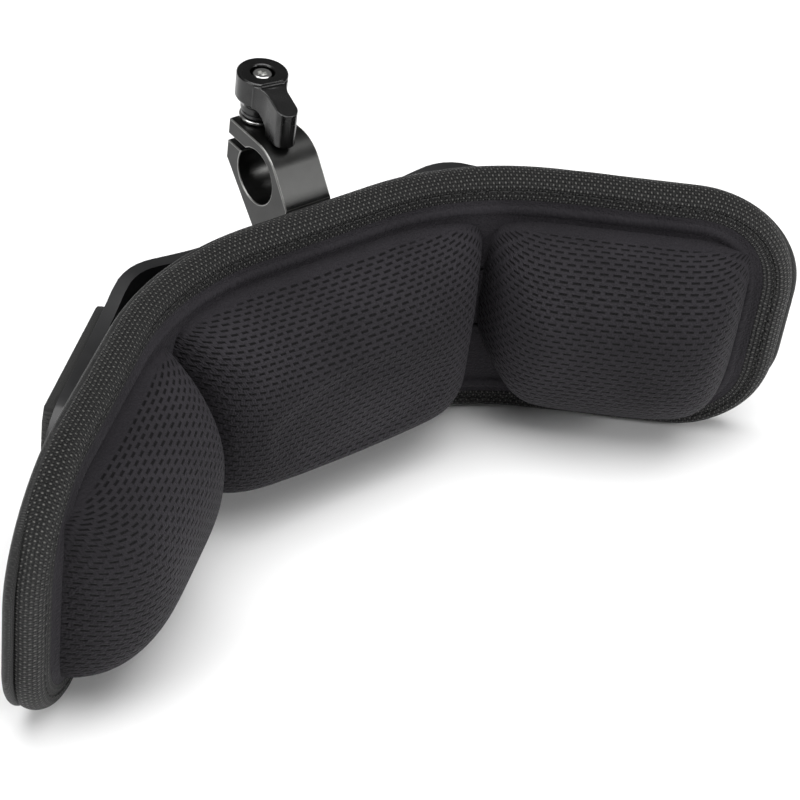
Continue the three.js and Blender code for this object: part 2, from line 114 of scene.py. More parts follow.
def new_piece(name, vertices, faces):
    mesh = bpy.data.meshes.new(name)
    mesh.from_pydata([tuple(v) for v in vertices], [], faces)
    mesh.validate()
    mesh.shade_smooth()
    piece = bpy.data.objects.new(name, mesh)
    scene.collection.objects.link(piece)
    return piece


def tidy_mesh(piece, merge=0.00001, outward=True):
    work = bmesh.new()
    work.from_mesh(piece.data)
    bmesh.ops.remove_doubles(work, verts=work.verts, dist=merge)
    if outward:
        bmesh.ops.recalc_face_normals(work, faces=work.faces)
    work.to_mesh(piece.data)
    work.free()
    piece.data.shade_smooth()
    return piece


def subdivide(piece, levels=1):
    step = piece.modifiers.new("smooth surface", "SUBSURF")
    step.levels = levels
    step.render_levels = levels
    return step


def thicken(piece, thickness, label):
    """Gives a sheet its thickness, away from the side that its faces point to."""
    wall = piece.modifiers.new(label, "SOLIDIFY")
    wall.thickness = thickness
    wall.offset = -1


def chamfer(piece, width, least):
    """A narrow edge in the piece's second material, wherever it turns by more than least degrees."""
    edge = piece.modifiers.new("chamfer", "BEVEL")
    edge.width = width
    edge.segments = 2
    edge.limit_method = "ANGLE"
    edge.angle_limit = math.radians(least)
    edge.harden_normals = True
    edge.material = 1


def bake_stack(piece):
    bpy.context.view_layer.update()
    graph = bpy.context.evaluated_depsgraph_get()
    mesh = bpy.data.meshes.new_from_object(piece.evaluated_get(graph), depsgraph=graph)
    piece.modifiers.clear()
    piece.data = mesh
    return piece


def grid_faces(columns, rows, first=0):
    """Faces of a grid whose vertices run row by row, columns + 1 to a row."""
    wide = columns + 1
    corners = [(first + j * wide + i) for j in range(rows) for i in range(columns)]
    return [(c, c + 1, c + 1 + wide, c + wide) for c in corners]


def ring_faces(around, rings, first=0, closed=False):
    """Faces between rings of vertices; closed joins the last ring to the first."""
    faces = []
    for j in range(rings if closed else rings - 1):
        near = first + j * around
        far = first + (j + 1) % rings * around
        for i in range(around):
            k = (i + 1) % around
            faces.append((near + i, near + k, far + k, far + i))
    return faces


def add_weave_map(piece, places):
    """Gives a piece its cloth coordinates, in metres, from one place for each vertex."""
    layer = piece.data.uv_layers.new(name="weave")
    for loop in piece.data.loops:
        layer.data[loop.index].uv = places[loop.vertex_index]


# ---------- Bending flat pieces round the body ----------

def along(bend, s):
    """Point and forward normal at s on a path that is straight, then turns towards -Y."""
    start = bend["apex"] - bend["radius"] * math.tan(bend["angle"] / 2)
    turn = min(max((abs(s) - start) / bend["radius"], 0), bend["angle"])
    after = max(abs(s) - start - bend["radius"] * bend["angle"], 0)
    x = min(abs(s), start) + bend["radius"] * math.sin(turn) + after * math.cos(turn)
    y = bend["back"] - bend["radius"] * (1 - math.cos(turn)) - after * math.sin(turn)
    side = -1 if s < 0 else 1
    return side * x, y, -side * math.sin(turn), -math.cos(turn)


def wrap(bend, s, d, z):
    """The place of a point that is d in front of a bent path, and z above the pad's middle."""
    x, y, nx, ny = along(bend, s)
    return Vector((x + nx * d, y + ny * d, PAD_Z + z))


CORNER_STEPS = 24
SIDE_STEPS = 96
END_STEPS = 8
CLOSING_STEP = 2.1 * MM              # cloth between the last station and the first


def pad_stations():
    """The pad's outer edge as (s, z, outward s, outward z), corner by corner."""
    stations = []
    corners = ((1, 1, 0), (-1, 1, 90), (-1, -1, 180), (1, -1, 270))
    arcs = []
    for side_s, side_z, first in corners:
        radius = PAD["upper_corner"] if side_z > 0 else PAD["lower_corner"]
        centre_s = side_s * (PAD["half"] - radius)
        centre_z = PAD_LIFT + side_z * (PAD["half_height"] - radius)
        arc_line = []
        for step in range(CORNER_STEPS + 1):
            angle = math.radians(first + 90 * step / CORNER_STEPS)
            out = (math.cos(angle), math.sin(angle))
            arc_line.append((centre_s + radius * out[0], centre_z + radius * out[1], *out))
        arcs.append(arc_line)
    for index, arc_line in enumerate(arcs):
        stations += arc_line
        last_s, last_z, out_s, out_z = arc_line[-1]
        goal_s, goal_z = arcs[(index + 1) % 4][0][:2]
        count = END_STEPS if index % 2 else SIDE_STEPS
        for step in range(1, count):
            share = step / count
            s = last_s + (goal_s - last_s) * share
            z = last_z + (goal_z - last_z) * share
            stations.append((s, z, out_s, out_z))
    return stations


STATIONS = pad_stations()


def inset_at(inset, out_s, widen=0.25, step=1.0 * MM):
    """The binding is a little wider round the two ends of the pad than along its sides."""
    return inset * (1 + widen * out_s ** 4) + step * out_s ** 4


def running_length(points):
    """Length along a line of points up to each one of them."""
    lengths = [0.0]
    for a, b in zip(points, points[1:]):
        lengths.append(lengths[-1] + math.hypot(b[0] - a[0], b[1] - a[1]))
    return lengths


def swept_ring(name, section, wobble=0.0):
    """A closed section of (inset, d) points carried round the pad's edge."""
    count = len(section)
    around = len(STATIONS)
    vertices = []
    for inset, d in section:
        for s, z, out_s, out_z in STATIONS:
            soft = inset_at(inset, out_s) - wobble * noise.noise(Vector((s, z, d)) * 60)
            place_s = s - out_s * soft
            place_z = z - out_z * soft
            vertices.append(wrap(PAD_BEND, place_s, d, place_z))
    piece = new_piece(name, vertices, ring_faces(around, count, closed=True))
    ring_length = running_length(STATIONS)
    total = ring_length[-1] + CLOSING_STEP
    width = running_length(section + section[:1])
    layer = piece.data.uv_layers.new(name="weave")
    for face in piece.data.polygons:
        ends_ring = any(index % around == around - 1 for index in face.vertices)
        ends_section = any(index // around == count - 1 for index in face.vertices)
        for loop_index in face.loop_indices:
            j, i = divmod(piece.data.loops[loop_index].vertex_index, around)
            u = total if i == 0 and ends_ring else ring_length[i]
            v = width[count] if j == 0 and ends_section else width[j]
            layer.data[loop_index].uv = (u, v)
    return piece


def loop_sheet(name, profile, ends=(0.25, 1.0 * MM)):
    """A sheet that follows the pad's outline: (inset, d) steps inwards, then a plain middle."""
    vertices = []
    weave = []
    around = len(STATIONS)
    for inset, d in profile:
        for s, z, out_s, out_z in STATIONS:
            here = inset_at(inset, out_s, *ends)
            place = (s - out_s * here, z - out_z * here)
            vertices.append(wrap(PAD_BEND, place[0], d, place[1]))
            weave.append(place)
    faces = ring_faces(around, len(profile))
    first = len(vertices)
    inset, d = profile[-1]
    in_s = PAD["half"] - inset_at(inset, 1, *ends)
    in_z = PAD["half_height"] - inset
    for row in range(END_STEPS + 1):
        for column in range(SIDE_STEPS + 1):
            place = (in_s * (2 * column / SIDE_STEPS - 1), PAD_LIFT + in_z * (2 * row / END_STEPS - 1))
            vertices.append(wrap(PAD_BEND, place[0], d, place[1]))
            weave.append(place)
    faces += grid_faces(SIDE_STEPS, END_STEPS, first)
    piece = new_piece(name, vertices, faces)
    add_weave_map(piece, weave)
    return tidy_mesh(piece)


# ---------- Pillows ----------

RINGS = 24
PILLOW_BASE = FLANGE - CLOTH
OUTLINE = 7                          # exponent of a pillow's outline above its middle
BEVEL = 4.0 * MM                     # smooth sloping band above each pillow, up to its crease
BEVEL_RISE = 3.4 * MM
END_POWER = 4.5                      # how steeply a pillow's crown falls at its two ends
RIM_POWER = 20                       # the same close to its outline, all round
TOP_POWERS = (2.3, 0.6)              # the crown's rounding up to the sloping band
PRESSED = {"above": 5.6 * MM, "below": 1.5 * MM, "ends": 2.6 * MM}   # cloth with no open slits
BACKED = -5.0                        # openness of the pillow's hidden base
NEAR_RIM = 0.9999                    # share of the half size at which a length is measured
HELD_BELOW = -1.2                    # cloth less open than this is sewn down and can't swell
SWELL_LIMIT = 1.2 * MM
ARC_STEPS = 20


def outness(pillow, u, v):
    """How far out a point of a pillow is: 0 in the middle, 1 on the outline."""
    power = pillow["low_corner"][u > 0] if v < 0 else OUTLINE
    return (abs(u) ** power + abs(v) ** power) ** (1 / power)


def crown(pillow, x, z):
    """Height of a pillow at x, z from its middle: steep ends, and a sloping band above a crease."""
    u, v = abs(x) / pillow["a"], abs(z) / pillow["b"]
    rho = outness(pillow, x / pillow["a"], z / pillow["b"])
    if rho >= 1:
        return 0.0
    ends = math.sqrt((1 - u ** END_POWER) * (1 - rho ** RIM_POWER))
    if z <= 0:
        return pillow["rise"] * ends * math.sqrt(1 - v ** pillow["low"])
    band = min((pillow["b"] - z) / BEVEL, 1)
    over = min(z / (pillow["b"] - BEVEL), 1)
    rounded = (1 - over ** TOP_POWERS[0]) ** TOP_POWERS[1]
    return ends * (BEVEL_RISE * band + (pillow["rise"] - BEVEL_RISE) * rounded)


def cloth_length(pillow, x, z, along_x):
    """Length of cloth from the pillow's middle line to a point, measured over the crown."""
    length = 0.0
    last = crown(pillow, 0, z) if along_x else crown(pillow, x, 0)
    for step in range(1, ARC_STEPS + 1):
        share = math.sin(step / ARC_STEPS * math.pi / 2)
        before = math.sin((step - 1) / ARC_STEPS * math.pi / 2)
        here = crown(pillow, x * share, z) if along_x else crown(pillow, x, z * share)
        run = (x if along_x else z) * (share - before)
        length += math.hypot(run, here - last)
        last = here
    return math.copysign(length, x if along_x else z)


def dome_point(pillow, u, v):
    """Where a point of a square from -1 to 1 goes on a pillow's outline and crown."""
    t = max(abs(u), abs(v))
    if t == 0:
        return 0.0, 0.0, pillow["rise"]
    reach = math.sin(t * math.pi / 2) * 0.7 + t * 0.3
    square = (u / t, v / t)
    norm = outness(pillow, *square)
    x = pillow["a"] * square[0] / norm * reach
    z = pillow["b"] * square[1] / norm * reach
    return x, z, crown(pillow, x, z)


def inflate(piece, pinned, limit):
    """Lets the cover swell a little under pressure, as moulded foam does, and keeps the result."""
    before = [v.co.copy() for v in piece.data.vertices]
    group = piece.vertex_groups.new(name="held")
    group.add(pinned, 1.0, "REPLACE")
    cloth = piece.modifiers.new("inflate", "CLOTH")
    cloth.settings.quality = 5
    cloth.settings.mass = 0.3
    cloth.settings.tension_stiffness = 25
    cloth.settings.compression_stiffness = 25
    cloth.settings.bending_stiffness = 1.5
    cloth.settings.vertex_group_mass = "held"
    cloth.settings.use_pressure = True
    cloth.settings.uniform_pressure_force = 5
    cloth.settings.effector_weights.gravity = 0
    cloth.collision_settings.use_collision = False
    for number in range(1, 21):
        scene.frame_set(number)
    bake_stack(piece)
    scene.frame_set(1)
    for vertex, start in zip(piece.data.vertices, before):
        move = vertex.co - start
        if move.length > limit:
            vertex.co = start + move.normalized() * limit
    piece.vertex_groups.clear()


def pillow_piece(pillow):
    side = 2 * RINGS
    vertices = []
    weave = []
    openness = []
    spots = [dome_point(pillow, i / RINGS - 1, j / RINGS - 1)
             for j in range(side + 1) for i in range(side + 1)]
    for x, z, height in spots:
        vertices.append(wrap(PAD_BEND, pillow["s"] + x, PILLOW_BASE + height, z))
        cloth = (cloth_length(pillow, x, z, True), cloth_length(pillow, x, z, False))
        weave.append((cloth[0] + pillow["s"], cloth[1]))
        edge_x = pillow["a"] * NEAR_RIM
        edge_z = math.copysign(pillow["b"] * NEAR_RIM, z)
        left_x = cloth_length(pillow, edge_x, z, True) - abs(cloth[0])
        left_z = abs(cloth_length(pillow, x, edge_z, False)) - abs(cloth[1])
        left_z -= PRESSED["above"] if z > 0 else PRESSED["below"]
        openness.append(1000 * min(left_x - PRESSED["ends"], left_z))
    faces = grid_faces(side, side)
    faces += [face[::-1] for face in grid_faces(side, side, len(vertices))]
    for x, z, _ in spots:
        vertices.append(wrap(PAD_BEND, pillow["s"] + x, PILLOW_BASE, z))
    weave += weave
    openness += [BACKED] * len(spots)
    piece = new_piece("pillow_" + pillow["name"], vertices, faces)
    add_weave_map(piece, weave)
    values = piece.data.attributes.new("open_mesh", "FLOAT", "POINT")
    values.data.foreach_set("value", openness)
    tidy_mesh(piece)
    openness = piece.data.attributes["open_mesh"].data
    held = [v.index for v in piece.data.vertices if openness[v.index].value < HELD_BELOW]
    inflate(piece, held, SWELL_LIMIT)
    subdivide(piece, 2)
    return piece


# ---------- Materials ----------

def lay_out(tree, groups):
    """Puts each group of nodes under its own frame, in columns from left to right."""
    for column, (label, members) in enumerate(groups):
        box = tree.nodes.new("NodeFrame")
        box.label = label
        for row, node in enumerate(members):
            node.parent = box
            node.location = (column * 420 + 180 * (row % 2), -170 * row)


def blank_material(name):
    material = bpy.data.materials.new(name)
    material.use_nodes = True
    tree = material.node_tree
    tree.nodes.clear()
    return material, tree, tree.nodes, tree.links


def mesh_cloth():
    """Charcoal spacer mesh: staggered slits, coloured near black as painted shade, that close up where
    the cloth is pressed flat.
    """
    material, tree, nodes, links = blank_material("mesh_cloth")

    cloth = nodes.new("ShaderNodeUVMap")
    cloth.label = "cloth coordinates"
    cloth.uv_map = "weave"
    sway = nodes.new("ShaderNodeTexNoise")
    sway.label = "rows wander"
    sway.inputs["Scale"].default_value = 90
    sway.inputs["Detail"].default_value = 2
    bend_rows = nodes.new("ShaderNodeVectorMath")
    bend_rows.label = "wander by less than a millimetre"
    bend_rows.operation = "MULTIPLY_ADD"
    bend_rows.inputs[1].default_value = (0.0008, 0.0008, 0)
    stretch = nodes.new("ShaderNodeVectorMath")
    stretch.label = "room above a slit as wide as beside it"
    stretch.operation = "MULTIPLY"
    stretch.inputs[1].default_value = (1, 1.3, 1)
    slits = nodes.new("ShaderNodeTexBrick")
    slits.label = "slits in staggered rows"
    slits.inputs["Scale"].default_value = 1
    slits.inputs["Brick Width"].default_value = 0.0034
    slits.inputs["Row Height"].default_value = 0.0021
    slits.inputs["Mortar Size"].default_value = 0.0009
    slits.inputs["Mortar Smooth"].default_value = 0.5
    links.new(cloth.outputs["UV"], sway.inputs["Vector"])
    links.new(sway.outputs["Color"], bend_rows.inputs[0])
    links.new(cloth.outputs["UV"], bend_rows.inputs[2])
    links.new(bend_rows.outputs["Vector"], stretch.inputs[0])
    links.new(stretch.outputs["Vector"], slits.inputs["Vector"])

    opened = nodes.new("ShaderNodeAttribute")
    opened.label = "how open the mesh is"
    opened.attribute_name = "open_mesh"
    fade = nodes.new("ShaderNodeMapRange")
    fade.label = "pressed flat near the seams"
    fade.interpolation_type = "SMOOTHSTEP"
    fade.inputs["From Min"].default_value = 0.0
    fade.inputs["From Max"].default_value = 1.6
    hollow = nodes.new("ShaderNodeMath")
    hollow.label = "slit"
    hollow.operation = "SUBTRACT"
    hollow.inputs[0].default_value = 1
    hole = nodes.new("ShaderNodeMath")
    hole.label = "slit where open"
    hole.operation = "MULTIPLY"
    links.new(opened.outputs["Fac"], fade.inputs["Value"])
    links.new(slits.outputs["Fac"], hollow.inputs[1])
    links.new(hollow.outputs["Value"], hole.inputs[0])
    links.new(fade.outputs["Result"], hole.inputs[1])

    patches = nodes.new("ShaderNodeTexNoise")
    patches.label = "uneven shade"
    patches.inputs["Scale"].default_value = 24
    patches.inputs["Detail"].default_value = 3
    shade = nodes.new("ShaderNodeValToRGB")
    shade.label = "charcoal yarn"
    shade.color_ramp.elements[0].position = 0.3
    shade.color_ramp.elements[0].color = (0.0140, 0.0128, 0.0150, 1)
    shade.color_ramp.elements[1].position = 0.7
    shade.color_ramp.elements[1].color = (0.0250, 0.0230, 0.0268, 1)
    # painted shade: the slits take a near-black colour that stands in for the shade inside them
    painted_slit_shade = nodes.new("ShaderNodeMix")
    painted_slit_shade.label = "painted shade inside the slits"
    painted_slit_shade.data_type = "RGBA"
    painted_slit_shade.inputs["B"].default_value = (0.003, 0.0028, 0.0032, 1)
    links.new(cloth.outputs["UV"], patches.inputs["Vector"])
    links.new(patches.outputs["Fac"], shade.inputs["Fac"])
    links.new(shade.outputs["Color"], painted_slit_shade.inputs["A"])
    links.new(hole.outputs["Value"], painted_slit_shade.inputs["Factor"])

    yarn = nodes.new("ShaderNodeTexVoronoi")
    yarn.label = "knitted yarn"
    yarn.inputs["Scale"].default_value = 1500
    height = nodes.new("ShaderNodeMath")
    height.label = "slits sink below the yarn"
    height.operation = "MULTIPLY_ADD"
    height.inputs[1].default_value = -1.0
    soften = nodes.new("ShaderNodeMath")
    soften.label = "yarn is shallow"
    soften.operation = "MULTIPLY"
    soften.inputs[1].default_value = 0.7
    relief = nodes.new("ShaderNodeBump")
    relief.label = "mesh relief"
    relief.inputs["Strength"].default_value = 0.8
    relief.inputs["Distance"].default_value = 0.0005
    links.new(cloth.outputs["UV"], yarn.inputs["Vector"])
    links.new(yarn.outputs["Distance"], soften.inputs[0])
    links.new(hole.outputs["Value"], height.inputs[0])
    links.new(soften.outputs["Value"], height.inputs[2])
    links.new(height.outputs["Value"], relief.inputs["Height"])

    surface = nodes.new("ShaderNodeBsdfPrincipled")
    surface.label = "cloth"
    surface.inputs["Roughness"].default_value = 0.7
    surface.inputs["Specular IOR Level"].default_value = 0.12
    surface.inputs["Sheen Weight"].default_value = 0.035
    surface.inputs["Sheen Roughness"].default_value = 0.45
    surface.inputs["Sheen Tint"].default_value = (0.75, 0.72, 0.8, 1)
    output = nodes.new("ShaderNodeOutputMaterial")
    output.label = "surface"
    links.new(painted_slit_shade.outputs["Result"], surface.inputs["Base Color"])
    links.new(relief.outputs["Normal"], surface.inputs["Normal"])
    links.new(surface.outputs["BSDF"], output.inputs["Surface"])
    lay_out(tree, (
        ("rows of slits", (cloth, sway, bend_rows, stretch, slits)),
        ("pressed edges", (opened, fade, hollow, hole)),
        ("colour", (patches, shade, painted_slit_shade)),
        ("relief", (yarn, soften, height, relief)),
        ("cloth", (surface, output)),
    ))
    return material


def plain_weave(name, pitch, across, dark, middle, light, depth, sheen):
    """A plain weave of beads in a chequer. A bead is pitch long, and across wide. Its colour follows the
    bead height: dark is painted shade in the gaps, light a painted highlight on the bead tops.
    """
    material, tree, nodes, links = blank_material(name)

    cloth = nodes.new("ShaderNodeUVMap")
    cloth.label = "cloth coordinates"
    cloth.uv_map = "weave"
    sway = nodes.new("ShaderNodeTexNoise")
    sway.label = "uneven yarn"
    sway.inputs["Scale"].default_value = 0.25 / pitch
    shift = nodes.new("ShaderNodeVectorMath")
    shift.label = "yarns wander"
    shift.operation = "MULTIPLY_ADD"
    shift.inputs[1].default_value = (pitch * 0.6, pitch * 0.6, 0)
    scale = nodes.new("ShaderNodeVectorMath")
    scale.label = "half turns for each bead"
    scale.operation = "MULTIPLY"
    scale.inputs[1].default_value = (math.pi / pitch, math.pi / across, 1)
    split = nodes.new("ShaderNodeSeparateXYZ")
    split.label = "warp and weft"
    warp = nodes.new("ShaderNodeMath")
    warp.label = "warp"
    warp.operation = "SINE"
    weft = nodes.new("ShaderNodeMath")
    weft.label = "weft"
    weft.operation = "SINE"
    bead = nodes.new("ShaderNodeMath")
    bead.label = "over and under"
    bead.operation = "MULTIPLY"
    links.new(cloth.outputs["UV"], sway.inputs["Vector"])
    links.new(sway.outputs["Color"], shift.inputs[0])
    links.new(cloth.outputs["UV"], shift.inputs[2])
    links.new(shift.outputs["Vector"], scale.inputs[0])
    links.new(scale.outputs["Vector"], split.inputs["Vector"])
    links.new(split.outputs["X"], warp.inputs[0])
    links.new(split.outputs["Y"], weft.inputs[0])
    links.new(warp.outputs["Value"], bead.inputs[0])
    links.new(weft.outputs["Value"], bead.inputs[1])

    over = nodes.new("ShaderNodeMath")
    over.label = "upper beads"
    over.operation = "MAXIMUM"
    over.inputs[1].default_value = 0
    under = nodes.new("ShaderNodeMath")
    under.label = "lower beads"
    under.operation = "MULTIPLY"
    under.inputs[1].default_value = -0.55
    swell = nodes.new("ShaderNodeMath")
    swell.label = "height of the yarn"
    swell.operation = "MAXIMUM"
    relief = nodes.new("ShaderNodeBump")
    relief.label = "weave relief"
    relief.inputs["Strength"].default_value = 1.0
    relief.inputs["Distance"].default_value = depth
    links.new(bead.outputs["Value"], over.inputs[0])
    links.new(bead.outputs["Value"], under.inputs[0])
    links.new(over.outputs["Value"], swell.inputs[0])
    links.new(under.outputs["Value"], swell.inputs[1])
    links.new(swell.outputs["Value"], relief.inputs["Height"])

    # painted shade and highlight: the colour runs from dark in the gaps between beads to light on the
    # bead tops, as light would fall on them
    shade = nodes.new("ShaderNodeValToRGB")
    shade.label = "painted shade in gaps, lower yarn, painted highlight on bead tops"
    shade.color_ramp.elements[0].position = 0.1
    shade.color_ramp.elements[0].color = (*dark, 1)
    shade.color_ramp.elements[1].position = 0.92
    shade.color_ramp.elements[1].color = (*light, 1)
    half_way = shade.color_ramp.elements.new(0.45)
    half_way.color = (*middle, 1)
    dust = nodes.new("ShaderNodeTexNoise")
    dust.label = "dull and fresh patches"
    dust.inputs["Scale"].default_value = 45
    dust.inputs["Detail"].default_value = 4
    mottle = nodes.new("ShaderNodeMix")
    mottle.label = "patchy colour"
    mottle.data_type = "RGBA"
    mottle.blend_type = "MULTIPLY"
    mottle.inputs["B"].default_value = (0.62, 0.62, 0.62, 1)
    links.new(swell.outputs["Value"], shade.inputs["Fac"])
    links.new(cloth.outputs["UV"], dust.inputs["Vector"])
    links.new(dust.outputs["Fac"], mottle.inputs["Factor"])
    links.new(shade.outputs["Color"], mottle.inputs["A"])

    surface = nodes.new("ShaderNodeBsdfPrincipled")
    surface.label = "webbing"
    surface.inputs["Roughness"].default_value = 0.6
    surface.inputs["Specular IOR Level"].default_value = 0.4
    surface.inputs["Sheen Weight"].default_value = sheen
    surface.inputs["Sheen Roughness"].default_value = 0.4
    output = nodes.new("ShaderNodeOutputMaterial")
    output.label = "surface"
    links.new(mottle.outputs["Result"], surface.inputs["Base Color"])
    links.new(relief.outputs["Normal"], surface.inputs["Normal"])
    links.new(surface.outputs["BSDF"], output.inputs["Surface"])
    lay_out(tree, (
        ("weave", (cloth, sway, shift, scale, split, warp, weft, bead)),
        ("relief", (over, under, swell, relief)),
        ("colour", (shade, dust, mottle)),
        ("cloth", (surface, output)),
    ))
    return material


def elastic_knit():
    """Ribbed elastic: fine rows across the strap, with knit stitches along each row."""
    material, tree, nodes, links = blank_material("elastic")
    cloth = nodes.new("ShaderNodeUVMap")
    cloth.label = "cloth coordinates"
    cloth.uv_map = "weave"
    ribs = nodes.new("ShaderNodeTexWave")
    ribs.label = "ribs"
    ribs.wave_type = "BANDS"
    ribs.bands_direction = "Y"
    ribs.inputs["Scale"].default_value = 262
    ribs.inputs["Distortion"].default_value = 0.6
    ribs.inputs["Detail Scale"].default_value = 400
    stitches = nodes.new("ShaderNodeTexVoronoi")
    stitches.label = "knit stitches"
    stitches.inputs["Scale"].default_value = 1100
    blend = nodes.new("ShaderNodeMath")
    blend.label = "ribs with stitches"
    blend.operation = "MULTIPLY_ADD"
    blend.inputs[1].default_value = 0.35
    relief = nodes.new("ShaderNodeBump")
    relief.label = "rib relief"
    relief.inputs["Strength"].default_value = 0.9
    relief.inputs["Distance"].default_value = 0.0004
    shade = nodes.new("ShaderNodeValToRGB")
    shade.label = "grey yarn"
    shade.color_ramp.elements[0].position = 0.15
    shade.color_ramp.elements[0].color = (0.006, 0.006, 0.0056, 1)
    shade.color_ramp.elements[1].position = 0.9
    shade.color_ramp.elements[1].color = (0.022, 0.0217, 0.020, 1)
    surface = nodes.new("ShaderNodeBsdfPrincipled")
    surface.label = "elastic"
    surface.inputs["Roughness"].default_value = 0.8
    surface.inputs["Sheen Weight"].default_value = 0.04
    output = nodes.new("ShaderNodeOutputMaterial")
    output.label = "surface"
    links.new(cloth.outputs["UV"], ribs.inputs["Vector"])
    links.new(cloth.outputs["UV"], stitches.inputs["Vector"])
    links.new(stitches.outputs["Distance"], blend.inputs[0])
    links.new(ribs.outputs["Fac"], blend.inputs[2])
    links.new(blend.outputs["Value"], relief.inputs["Height"])
    links.new(blend.outputs["Value"], shade.inputs["Fac"])
    links.new(shade.outputs["Color"], surface.inputs["Base Color"])
    links.new(relief.outputs["Normal"], surface.inputs["Normal"])
    links.new(surface.outputs["BSDF"], output.inputs["Surface"])
    lay_out(tree, (
        ("ribs", (cloth, ribs, stitches, blend)),
        ("relief and colour", (relief, shade)),
        ("cloth", (surface, output)),
    ))
    return material


def stock(name, colours, roughness, metallic, grain, depth, coat=0.0):
    """Metal, plastic or foam with a fine grain. grain is its count per metre, depth its relief."""
    material, tree, nodes, links = blank_material(name)
    place = nodes.new("ShaderNodeTexCoord")
    place.label = "place on the object"
    fine = nodes.new("ShaderNodeTexNoise")
    fine.label = "fine grain"
    fine.inputs["Scale"].default_value = grain
    fine.inputs["Detail"].default_value = 3
    wide = nodes.new("ShaderNodeTexNoise")
    wide.label = "handling marks"
    wide.inputs["Scale"].default_value = grain / 14
    wide.inputs["Detail"].default_value = 5
    relief = nodes.new("ShaderNodeBump")
    relief.label = "grain relief"
    relief.inputs["Strength"].default_value = 0.5
    relief.inputs["Distance"].default_value = depth
    shade = nodes.new("ShaderNodeValToRGB")
    shade.label = "colour range"
    shade.color_ramp.elements[0].position = 0.35
    shade.color_ramp.elements[0].color = (*colours[0], 1)
    shade.color_ramp.elements[1].position = 0.65
    shade.color_ramp.elements[1].color = (*colours[1], 1)
    dull = nodes.new("ShaderNodeMapRange")
    dull.label = "polish range"
    dull.inputs["To Min"].default_value = roughness * 0.85
    dull.inputs["To Max"].default_value = min(roughness * 1.15, 1)
    surface = nodes.new("ShaderNodeBsdfPrincipled")
    surface.label = "stock"
    surface.inputs["Metallic"].default_value = metallic
    surface.inputs["Coat Weight"].default_value = coat
    output = nodes.new("ShaderNodeOutputMaterial")
    output.label = "surface"
    links.new(place.outputs["Object"], fine.inputs["Vector"])
    links.new(place.outputs["Object"], wide.inputs["Vector"])
    links.new(fine.outputs["Fac"], relief.inputs["Height"])
    links.new(wide.outputs["Fac"], shade.inputs["Fac"])
    links.new(wide.outputs["Fac"], dull.inputs["Value"])
    links.new(shade.outputs["Color"], surface.inputs["Base Color"])
    links.new(dull.outputs["Result"], surface.inputs["Roughness"])
    links.new(relief.outputs["Normal"], surface.inputs["Normal"])
    links.new(surface.outputs["BSDF"], output.inputs["Surface"])
    lay_out(tree, (
        ("grain", (place, fine, wide)),
        ("relief and colour", (relief, shade, dull)),
        ("stock", (surface, output)),
    ))
    return material


MESH_CLOTH = mesh_cloth()
# the webbing's light colour, far above its yarn's own, is a painted highlight on the bead tops; its dark
# colour is painted shade in the gaps
WEBBING = plain_weave(
    "webbing", 0.82 * MM, 1.05 * MM,
    (0.0004, 0.0004, 0.0004), (0.0022, 0.0022, 0.0021), (0.17, 0.168, 0.158), 0.0012, 0.02)
# the back cloth carries the same painted shade in the gaps and painted highlight on the bead tops, much
# weaker
BACK_CLOTH = plain_weave(
    "back_cloth", 0.42 * MM, 0.42 * MM,
    (0.004, 0.004, 0.004), (0.012, 0.012, 0.0115), (0.026, 0.026, 0.025), 0.00012, 0.08)
THREAD = stock("thread", ((0.004, 0.004, 0.004), (0.009, 0.009, 0.0088)), 0.6, 0, 2600, 0.0001)
ELASTIC = elastic_knit()
TAPE = stock("hook_and_loop", ((0.008, 0.008, 0.008), (0.02, 0.02, 0.02)), 0.9, 0, 1800, 0.0008)
FOAM = stock("foam", ((0.07, 0.07, 0.075), (0.12, 0.12, 0.125)), 0.95, 0, 900, 0.0008)
BOARD = stock("board", ((0.012, 0.012, 0.012), (0.02, 0.02, 0.02)), 0.55, 0, 500, 0.00005)
PLATE_PAINT = stock(
    "plate_paint", ((0.006, 0.006, 0.0065), (0.01, 0.01, 0.0105)), 0.38, 0, 1500, 0.00004)
# painted highlight: the plate's chamfer is much lighter and more metallic than its black paint, standing
# in for the light the edge catches
PLATE_EDGE_HIGHLIGHT = stock("plate_edge_highlight", ((0.05, 0.05, 0.052), (0.09, 0.09, 0.092)), 0.35, 0.6, 1500, 0.00002)
ANODISED = stock("anodised", ((0.04, 0.04, 0.039), (0.05, 0.05, 0.049)), 0.36, 1, 2500, 0.00003)
CHAMFER = stock("bright_chamfer", ((0.2, 0.2, 0.195), (0.3, 0.3, 0.29)), 0.35, 1, 1200, 0.00001)
LEVER_BLACK = stock("lever_black", ((0.042, 0.042, 0.042), (0.06, 0.06, 0.06)), 0.27, 1, 1800, 0.00002)
STEEL = stock("steel", ((0.5, 0.5, 0.49), (0.66, 0.66, 0.65)), 0.25, 1, 900, 0.00001)
DARK_STEEL = stock("dark_steel", ((0.06, 0.06, 0.062), (0.1, 0.1, 0.1)), 0.35, 1, 900, 0.00002)


def finish_piece(piece, body, materials, replaced=()):
    """Gives a finished piece its materials, its body and the nodes it stands for."""
    piece.data.materials.clear()
    for material in materials:
        piece.data.materials.append(material)
    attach(piece, body)
    if replaced:
        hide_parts(*replaced)
    return piece


# ---------- The cushion ----------

for pillow in PILLOWS:
    shell = pillow_piece(pillow)
    finish_piece(shell, "support", [MESH_CLOTH], ["pillow_cover_" + pillow["name"]])

